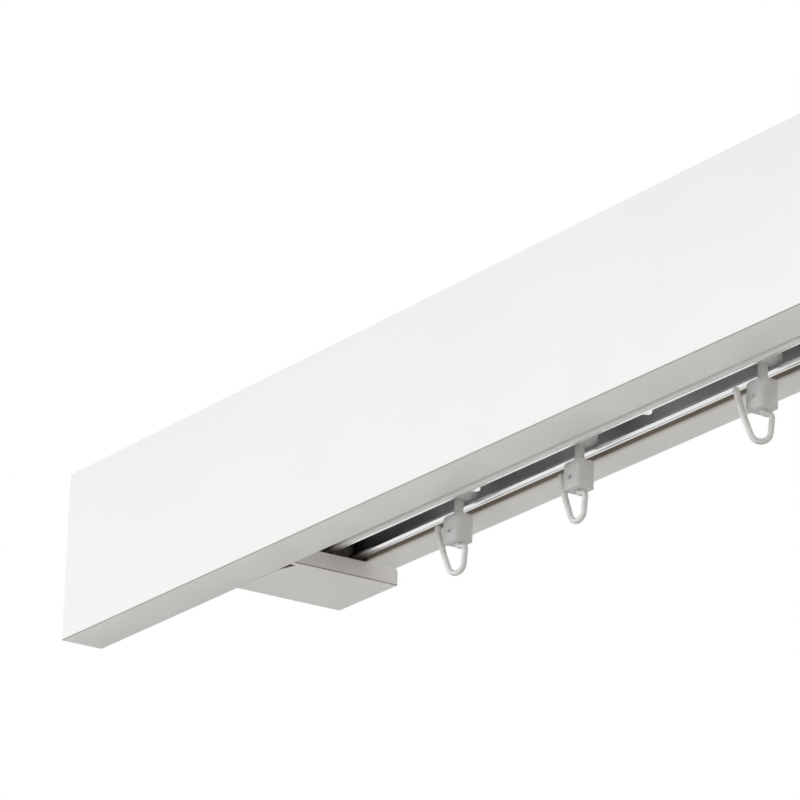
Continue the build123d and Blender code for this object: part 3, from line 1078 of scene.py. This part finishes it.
@dataclass(frozen=True)
class Screw:
    """One kind of screw, with a cross recess in its head and a thread along its shank.

    Its axis is Z, with the seat of the head at zero and the shank below it.
    """

    length: float
    radius: float
    head_radius: float
    head_height: float = 0.0
    head: Head = Head.COUNTERSUNK
    seed: int = 1
    sides: int = 32
    rim: float = 0.14 * MM
    dome_faces: int = 6
    dome_powers: Span = (0.55, 0.8)
    tip_share: float = 2.2
    pitch_share: float = 0.62
    core_share: float = 0.78
    sunk_share: float = 0.97
    ridge_share: float = 0.98
    run_out: float = 1.5
    neck: float = 1.2 * MM
    recess_reach: float = 0.62
    recess_half: float = 0.17
    recess_depth: float = 0.55
    recess_taper: float = 0.45
    recess_out: float = 0.5 * MM

    def profile(self) -> list[Vector]:
        """The outline of head and core from the middle of the head to the point.

        Returns:
            Points as (radius, height).
        """
        core = self.core_share * self.radius
        wide, rim = self.head_radius, self.rim
        if self.head is Head.PAN:
            points = [(0.0, self.head_height)]
            for step in range(1, self.dome_faces + 1):
                angle = radians(90.0 - 90.0 * step / self.dome_faces)
                across, up = cos(angle) ** self.dome_powers[0], sin(angle) ** self.dome_powers[1]
                points.append((wide * across, self.head_height * up))
            points.append((core, 0.0))
        else:
            points = [(0.0, 0.0), (wide - rim, 0.0), (wide, -rim), (wide, -2 * rim)]
            points.append((core, core - wide - 2 * rim))
        points += [(core, self.tip_share * self.radius - self.length), (0.0, -self.length)]
        return [Vector(point) for point in points]

    def turned(self) -> Object:
        """The head and the core, turned about Z, with the cross recess cut.

        Returns:
            The blank, as an object.
        """
        shape = bmesh.new()
        verts = [shape.verts.new((p.x, 0.0, p.y)) for p in self.profile()]
        for first, second in zip(verts, verts[1:]):
            shape.edges.new((first, second))
        bmesh.ops.spin(
            shape, geom=shape.verts[:] + shape.edges[:], cent=(0, 0, 0), axis=(0, 0, 1),
            angle=2 * pi, steps=self.sides, use_merge=True,
        )
        bmesh.ops.remove_doubles(shape, verts=shape.verts, dist=0.002 * MM)
        bmesh.ops.recalc_face_normals(shape, faces=shape.faces)
        blank = mesh_of(shape, "screw_blank")
        cutter = self.recess()
        put(blank.modifiers.new("recess", "BOOLEAN"), object=cutter, operation="DIFFERENCE", solver="EXACT")
        made = settle(blank, "screw_blank")
        bpy.data.objects.remove(cutter)
        return made

    def recess(self) -> Object:
        """The cross recess as a tool to cut with.

        Returns:
            The tool, as an object.
        """
        reach, half, depth = (
            share * self.head_radius for share in (self.recess_reach, self.recess_half, self.recess_depth)
        )
        top = Vector((0, 0, self.head_height + self.recess_out))
        foot = Vector((0, 0, self.head_height - depth))
        corners = []
        for quarter in range(4):
            turn = Matrix.Rotation(radians(90 * quarter), 3, "Z")
            corners += [turn @ Vector((x, y, 0.0)) for x, y in ((reach, half), (half, half), (half, reach))]
        shape = bmesh.new()
        upper = [shape.verts.new(c + top) for c in corners]
        lower = [shape.verts.new(c * self.recess_taper + foot) for c in corners]
        for i in range(len(corners)):
            shape.faces.new((upper[i - 1], upper[i], lower[i], lower[i - 1]))
        shape.faces.new(upper)
        shape.faces.new(lower)
        bmesh.ops.recalc_face_normals(shape, faces=shape.faces)
        return mesh_of(shape, "cross_recess")

    def set_row(self, node: str, places: Sequence[Vector], facing: Euler, material: Material) -> None:
        """Sets screws of this kind out in a row, each with its own turn about its axis.

        Args:
            node: The row's solid.
            places: The seats of the screws' heads.
            facing: How the screws are turned.
            material: Their finish.
        """
        thread_end = self.run_out * self.radius - self.length
        neck = self.head_radius if self.head is Head.COUNTERSUNK else self.neck
        sunk_core = self.core_share * self.sunk_share
        blank = self.turned()
        shade(blank, 30.0)
        former = Former(f"{node}_row")
        screw = former.part("Screw", blank)
        facing_in = former.take("Facing", "Rotation", facing)
        seed_in = former.take("Seed", "Int", self.seed)
        pitch = former.take("Thread pitch", "Float", self.pitch_share * 2 * self.radius)
        threaded = former.take("Threaded length", "Float", -thread_end - neck)
        core = former.take("Core radius", "Float", sunk_core * self.radius)
        ridge_size = former.take("Thread height", "Float", self.radius * (1.0 - sunk_core))
        turns = former.math("DIVIDE", threaded, pitch)
        helix = former.give("GeometryNodeCurveSpiral", {
            "Resolution": 20, "Rotations": turns, "Start Radius": core, "End Radius": core,
            "Height": threaded})
        ridge = former.give("GeometryNodeCurvePrimitiveCircle", {"Resolution": 3, "Radius": ridge_size})
        thread = former.give("GeometryNodeCurveToMesh", {
            "Curve": helix, "Profile Curve": ridge, "Scale": self.ridge_share, "Fill Caps": True})
        lowered = former.give("GeometryNodeTransform", {
            "Geometry": thread, "Translation": (0.0, 0.0, thread_end)})
        joined = former.give("GeometryNodeJoinGeometry", {0: [screw, lowered]})
        spots = former.give("GeometryNodeMeshToPoints", {"Mesh": former.given})
        row = former.give("GeometryNodeInstanceOnPoints", {
            "Points": spots, "Instance": joined, "Rotation": facing_in})
        chance = former.node("FunctionNodeRandomValue", {"Seed": seed_in, 3: pi / 2}, data_type="FLOAT")
        spin = former.give("ShaderNodeCombineXYZ", {2: chance.outputs[1]})
        row = former.give("GeometryNodeRotateInstances", {
            "Instances": row, "Rotation": spin, "Local Space": True})
        shape = bmesh.new()
        for place in places:
            shape.verts.new(place)
        piece = former.run(mesh_of(shape, "screw_places"), row, material, f"{node}_threaded")
        bpy.data.objects.remove(blank)
        hand_over(piece, RAIL, node)


@dataclass
class Fixings:
    """All screws and the two keyhole plates."""

    steel: ZincSteel = ZincSteel()
    board_screw: Screw = Screw(32 * MM, 1.75 * MM, 3.5 * MM, seed=3)
    board_screw_count: int = 4
    channel_screw: Screw = Screw(10.2 * MM, 1.5 * MM, 2.9 * MM, 1.8 * MM, Head.PAN, seed=5)
    channel_screw_count: int = 3
    plate_screw: Screw = Screw(9 * MM, 1.25 * MM, 2.5 * MM, seed=9)
    plate_screw_inset: float = 5.0 * MM
    plate_rounding: Rounding = Rounding(0.18 * MM, 2)

    def row(self, node: str, count: int, **level: float) -> list[Vector]:
        """Even places along a row of screws.

        Args:
            node: The row's name.
            count: How many screws it has.
            **level: Where their seats lie in y or z, where that isn't the middle of the row's box.

        Returns:
            The places.
        """
        low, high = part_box(node)
        first, last = low.x + head_half(node), high.x - head_half(node)
        middle = (low + high) / 2
        y, z = level.get("y", middle.y), level.get("z", middle.z)
        return [Vector((first + (last - first) * i / (count - 1), y, z)) for i in range(count)]

    def build(self) -> None:
        """Makes and dresses the screws and the plates."""
        material = self.steel.material("zinc_plate")
        to_wall, upside_down = Euler((radians(-90), 0, 0)), Euler((pi, 0, 0))
        board = self.row("board_screws", self.board_screw_count, y=0.0)
        self.board_screw.set_row("board_screws", board, to_wall, material)
        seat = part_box("c_track")[1].z - Channel.wall
        channel = self.row("channel_screws", self.channel_screw_count, z=seat)
        self.channel_screw.set_row("channel_screws", channel, upside_down, material)
        plates = [side.of("hanger_plate") for side in Side]
        small = []
        for low, high in map(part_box, plates):
            for x in (low.x + self.plate_screw_inset, high.x - self.plate_screw_inset):
                small.append(Vector((x, 0.0, (low.z + high.z) / 2)))
        self.plate_screw.set_row("hanger_screws", small, to_wall, material)
        for node in plates:
            fit(solid_copy(node), node, "stamped", material, self.plate_rounding)


@dataclass
class Glider:
    """The moulded glider: head in the channel, stem through the slot and a hollow body below."""

    voxel: float = 0.13 * MM
    smoothing: float = 0.5
    rounds: int = 12
    keep: float = 0.22

    def moulding(self, axis: Vector) -> bpy.types.Mesh:
        """Softens the first glider's solid into a moulded form, standing on its own axis.

        Args:
            axis: The place of the first glider's axis.

        Returns:
            The form's mesh.
        """
        blank = solid_copy("glider_1")
        blank.data.transform(Matrix.Translation(-axis))
        put(blank.modifiers.new("grain", "REMESH"), mode="VOXEL", voxel_size=self.voxel)
        put(blank.modifiers.new("soft", "SMOOTH"), factor=self.smoothing, iterations=self.rounds)
        put(blank.modifiers.new("thin", "DECIMATE"), ratio=self.keep)
        piece = settle(blank, "glider_form")
        mesh = piece.data
        mesh.shade_smooth()
        bpy.data.objects.remove(piece)
        return mesh


@dataclass
class HookRod:
    """One bent rod: a rivet and neck inside the glider, a leg, the loop and a free arm with a nub."""

    radius: float = 0.93 * MM
    bend_radius: float = 1.25 * MM
    leg_offset: float = 3.1 * MM
    leg_lean: float = 5.0
    leg_length: float = 4.7 * MM
    loop_radius: float = 3.0 * MM
    arm_lean: float = 22.0
    arm_length: float = 5.4 * MM
    arm_swell: float = 1.06
    curl_radius: float = 52.0 * MM
    curl: float = 9.0
    curl_swell: float = 1.14
    rivet_radius: float = 2.05 * MM
    rivet_height: float = 1.7 * MM
    rivet_tip: float = 0.05 * MM
    rivet_upper: float = 0.25 * MM
    rivet_lower: float = 0.2 * MM
    rivet_rims: float = 0.5 * MM
    nub_start: float = 0.1 * MM
    nub_radius: float = 1.12 * MM
    nub_length: float = 2.4 * MM
    nub_tip: float = 0.03 * MM
    nub_taper: float = 0.97
    nub_faces: int = 5
    thin: float = 0.02 * MM
    step: float = 5.0
    sides: int = 24
    path: list[tuple[Vector, float]] = field(default_factory=list)
    at: Vector = field(default_factory=lambda: Vector((0.0, 0.0)))
    heading: float = -90.0

    def way(self) -> Vector:
        """The direction that the rod goes in."""
        return Vector((cos(radians(self.heading)), sin(radians(self.heading))))

    def ahead(self, length: float, radius: float, steps: int = 1) -> None:
        """Goes straight on.

        Args:
            length: How far.
            radius: The rod's radius at the end of the stretch.
            steps: How many points the stretch gets.
        """
        start, start_radius = self.at.copy(), self.path[-1][1]
        for i in range(1, steps + 1):
            share = i / steps
            self.at = start + self.way() * length * share
            self.path.append((self.at.copy(), start_radius + (radius - start_radius) * share))

    def bend(self, radius: float, degrees: float, swell: float = 1.0) -> None:
        """Goes round a bend, to the left where the turn is positive.

        Args:
            radius: The bend's radius.
            degrees: How far it turns.
            swell: The rod's radius at its end, as a share of its plain radius, where that changes.
        """
        steps = max(2, round(abs(degrees) / self.step))
        start_radius = self.path[-1][1]
        growth = swell * self.radius - start_radius
        turn = degrees / steps
        chord = 2 * radius * sin(radians(abs(turn)) / 2)
        for i in range(1, steps + 1):
            self.heading += turn / 2
            self.at = self.at + self.way() * chord
            self.heading += turn / 2
            self.path.append((self.at.copy(), start_radius + growth * i / steps))

    def draw(self, rivet_top: float, run_level: float) -> list[tuple[Vector, float]]:
        """Draws the whole rod from the rivet's top to the nub.

        Args:
            rivet_top: The level of the rivet's top.
            run_level: The level of the rod's middle under the glider.

        Returns:
            Points in the rod's own plane with the rod's radius at each.
        """
        r, wide = self.radius, self.rivet_radius
        self.at = Vector((0.0, rivet_top))
        self.path = [(self.at.copy(), self.rivet_tip)]
        self.ahead(self.thin, wide - self.rivet_upper)
        self.ahead(self.rivet_upper, wide)
        self.ahead(self.rivet_height - self.rivet_rims, wide)
        self.ahead(self.rivet_lower, wide - self.rivet_lower)
        self.ahead(self.thin, r)
        self.ahead(self.at.y - run_level - self.bend_radius, r)
        self.bend(self.bend_radius, 90.0)
        self.ahead(self.leg_offset - 2 * self.bend_radius, r)
        self.bend(self.bend_radius, -90.0 - self.leg_lean)
        self.ahead(self.leg_length, r, 4)
        self.bend(self.loop_radius, -(180.0 - self.leg_lean - self.arm_lean))
        self.ahead(self.arm_length, self.arm_swell * r, 4)
        self.bend(self.curl_radius, -self.curl, self.curl_swell)
        self.ahead(self.nub_start, self.nub_radius)
        tapered = self.nub_taper * self.nub_radius
        self.ahead(self.nub_length - self.nub_radius, tapered, 2)
        for i in range(1, self.nub_faces + 1):
            before, angle = (radians(90.0 * n / self.nub_faces) for n in (i - 1, i))
            reach = self.nub_radius * (sin(angle) - sin(before))
            self.ahead(reach, max(self.nub_tip, tapered * cos(angle)))
        return self.path


@dataclass
class Travellers:
    """The gliders with their hooks, one pair for each pair of solids."""

    plastic: MilkyPlastic = MilkyPlastic()
    rod_plastic: MilkyPlastic = MilkyPlastic(
        colour=(0.80, 0.805, 0.79), cloud=(0.75, 0.755, 0.74), subsurface=0.8, transmission=0.3)
    glider: Glider = field(default_factory=Glider)
    floor: float = 1.6 * MM
    rivet_float: float = 0.3 * MM
    run_drop: float = 1.25 * MM

    def axis(self, number: int) -> Vector:
        """The place of a glider's axis, at the level of the origin."""
        low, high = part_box(f"glider_{number}")
        return Vector(((low.x + high.x) / 2, (low.y + high.y) / 2, 0.0))

    def turn(self, number: int) -> float:
        """How far a hook is turned about its glider's axis, read from its solid.

        Args:
            number: The hook's number.

        Returns:
            The turn from the track, for the fixed leg.
        """
        axis = self.axis(number)
        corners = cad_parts[f"hook_{number}"].data.vertices
        furthest = max(corners, key=lambda v: hypot(v.co.x - axis.x, v.co.y - axis.y))
        away = axis - furthest.co
        return Vector((away.x, away.y)).angle_signed(Vector((1.0, 0.0)))

    def build(self) -> None:
        """Makes every glider and every hook."""
        material = self.plastic.material("milky_plastic")
        rod_material = self.rod_plastic.material("milky_rod_plastic")
        form = self.glider.moulding(self.axis(1))
        form.materials.clear()
        form.materials.append(material)
        count = sum(1 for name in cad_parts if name.startswith("glider_"))
        for number in range(1, count + 1):
            node = f"glider_{number}"
            mesh = form.copy()
            mesh.transform(Matrix.Translation(self.axis(number)))
            hand_over(set_out(mesh, f"{node}_moulded"), node, node)
            self.hook(number, rod_material)

    def line(self, number: int, points: Sequence[tuple[Vector, float]]) -> Object:
        """Draws a hook's line in the scene, turned as its solid is and no lower than that.

        Args:
            number: The hook's number.
            points: Points in the rod's own plane with the rod's radius at each.

        Returns:
            The line, as an object.
        """
        node = f"hook_{number}"
        lowest = min(p.y - r for p, r in points)
        lift = max(0.0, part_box(node)[0].z - lowest)
        axis = self.axis(number)
        turn = Quaternion((0, 0, 1), self.turn(number))
        curve = put(bpy.data.curves.new(f"{node}_line", "CURVE"), dimensions="3D")
        spline = curve.splines.new("POLY")
        spline.points.add(len(points) - 1)
        for point, (p, r) in zip(spline.points, points):
            place = turn @ Vector((p.x, 0.0, 0.0)) + axis
            put(point, co=(place.x, place.y, p.y + lift, 1.0), radius=r / MM)
        return set_out(curve, f"{node}_line")

    def hook(self, number: int, material: Material) -> None:
        """Makes one hook: its rod swept along its own line.

        Args:
            number: The hook's number.
            material: Its finish.
        """
        node = f"hook_{number}"
        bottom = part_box(f"glider_{number}")[0].z
        rod = HookRod()
        points = rod.draw(bottom + self.floor + self.rivet_float + rod.rivet_height, bottom - self.run_drop)
        former = Former(f"{node}_rod")
        unit = former.take("Unit radius", "Float", MM)
        sides = former.take("Sides", "Int", rod.sides)
        section = former.give("GeometryNodeCurvePrimitiveCircle", {"Resolution": sides, "Radius": unit})
        thickness = former.give("GeometryNodeInputRadius")
        swept = former.give("GeometryNodeCurveToMesh", {
            "Curve": former.given, "Profile Curve": section, "Scale": thickness, "Fill Caps": True})
        piece = former.run(self.line(number, points), swept, material, f"{node}_rod")
        shade(piece, 50.0)
        hand_over(piece, node, node)


@dataclass(frozen=True)
class Lamp:
    """One large soft lamp.

    Attributes:
        name: Its name.
        power: Its power in watts.
        place: Where it hangs.
        aim: What it points at.
        size: Its width and height.
        colour: Its colour.
    """

    name: str
    power: float
    place: Place
    aim: Place
    size: Span
    colour: Colour

    def hang(self) -> None:
        """Hangs the lamp."""
        data = put(bpy.data.lights.new(self.name, "AREA"), shape="RECTANGLE", size=self.size[0],
                   size_y=self.size[1], energy=self.power, color=self.colour)
        towards = (Vector(self.place) - Vector(self.aim)).to_track_quat("Z", "Y")
        put(set_out(data, self.name), location=self.place, rotation_mode="QUATERNION",
            rotation_quaternion=towards, visible_camera=False)


@dataclass
class Studio:
    """The camera, the soft light and the pale floor."""

    eye: Place = (1.46013, -1.08693, -0.67105)
    azimuth: float = 57.958
    elevation: float = -19.036
    roll: float = 2.09
    lens: float = 290.9
    film: float = 36.0
    floor_level: float = -2.4
    floor_size: float = 12.0
    floor_clouds: Mottle = Mottle(3.0)
    floor_colour: Colour = (0.84, 0.83, 0.81)
    floor_shade: Colour = (0.80, 0.79, 0.77)
    sky: float = 0.17
    sky_colour: Colour = (1.0, 0.98, 0.95)
    lamps: tuple[Lamp, ...] = (
        Lamp("front_light", 139.0, (-1.3, -4.0, 0.45), (-0.1, 0.0, 0.0), (3.4, 2.2), (0.99, 1.0, 1.0)),
        Lamp("side_light", 26.0, (3.6, 0.1, -0.9), (0.0, -0.03, 0.0), (2.0, 2.0), (1.0, 0.93, 0.86)),
        Lamp("low_light", 7.0, (0.3, -0.9, -2.2), (0.0, -0.03, 0.0), (3.0, 2.0), (1.0, 0.975, 0.93)),
        Lamp("back_light", 48.0, (0.6, 3.4, 2.2), (0.0, 0.0, 0.0), (3.0, 2.0), (1.0, 0.99, 0.97)),
    )

    def build(self) -> None:
        """Sets the camera, the lights and the floor."""
        self.camera()
        self.world()
        for lamp in self.lamps:
            lamp.hang()
        self.floor()
        bpy.context.scene.view_settings.view_transform = "Standard"

    def camera(self) -> None:
        """Sets the camera at the portrait's angle."""
        a, e = radians(self.azimuth), radians(self.elevation)
        back = Vector((sin(a) * cos(e), -cos(a) * cos(e), sin(e)))
        turn = back.to_track_quat("Z", "Y") @ Quaternion((0, 0, 1), radians(self.roll))
        data = put(bpy.data.cameras.new("portrait"), lens=self.lens, sensor_width=self.film, clip_start=0.05,
                   clip_end=60.0)
        camera = put(set_out(data, "portrait"), location=self.eye, rotation_mode="QUATERNION",
                     rotation_quaternion=turn)
        bpy.context.scene.camera = camera
        log.info("camera looks along %s", tuple(-back))

    def world(self) -> None:
        """Sets an even sky that looks white past the object."""
        world = bpy.data.worlds.new("studio")
        world.use_nodes = True
        world.node_tree.nodes.clear()
        graph = Graph(world.node_tree)
        seen = graph.seen()
        colour = graph.blend(seen, self.sky_colour, WHITE)
        strength = graph.math("MULTIPLY_ADD", seen, 1.0 - self.sky, self.sky)
        light = graph.give("ShaderNodeBackground", {"Color": colour, "Strength": strength})
        graph.node("ShaderNodeOutputWorld", {"Surface": light})
        bpy.context.scene.world = world

    def floor(self) -> None:
        """Lays the pale floor, open to views from below."""
        shape = bmesh.new()
        bmesh.ops.create_grid(shape, x_segments=1, y_segments=1, size=self.floor_size / 2)
        bmesh.ops.translate(shape, vec=(0, 0, self.floor_level), verts=shape.verts)
        floor = mesh_of(shape, "studio_floor")
        s = Surface("pale_floor")
        tone = s.blend(s.mottled(self.floor_clouds), self.floor_colour, self.floor_shade)
        matt = s.give("ShaderNodeBsdfDiffuse", {"Color": tone})
        white = s.give("ShaderNodeEmission", {"Color": (*WHITE, 1.0), "Strength": 1.0})
        shown = s.give("ShaderNodeMixShader", {0: s.seen(), 1: matt, 2: white})
        clear = s.give("ShaderNodeBsdfTransparent")
        behind = s.node("ShaderNodeNewGeometry").outputs["Backfacing"]
        one_sided = s.give("ShaderNodeMixShader", {0: behind, 1: shown, 2: clear})
        s.feed(s.output.inputs["Surface"], one_sided)
        floor.data.materials.append(s.material)


def main() -> None:
    """Builds and dresses the whole track and lights it."""
    logging.basicConfig(level=logging.INFO, format="%(message)s")
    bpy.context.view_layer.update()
    Studio().build()
    Pelmet().build()
    Channel().build()
    EndStop().build()
    Fixings().build()
    Travellers().build()


if __name__ == "__main__":
    main()
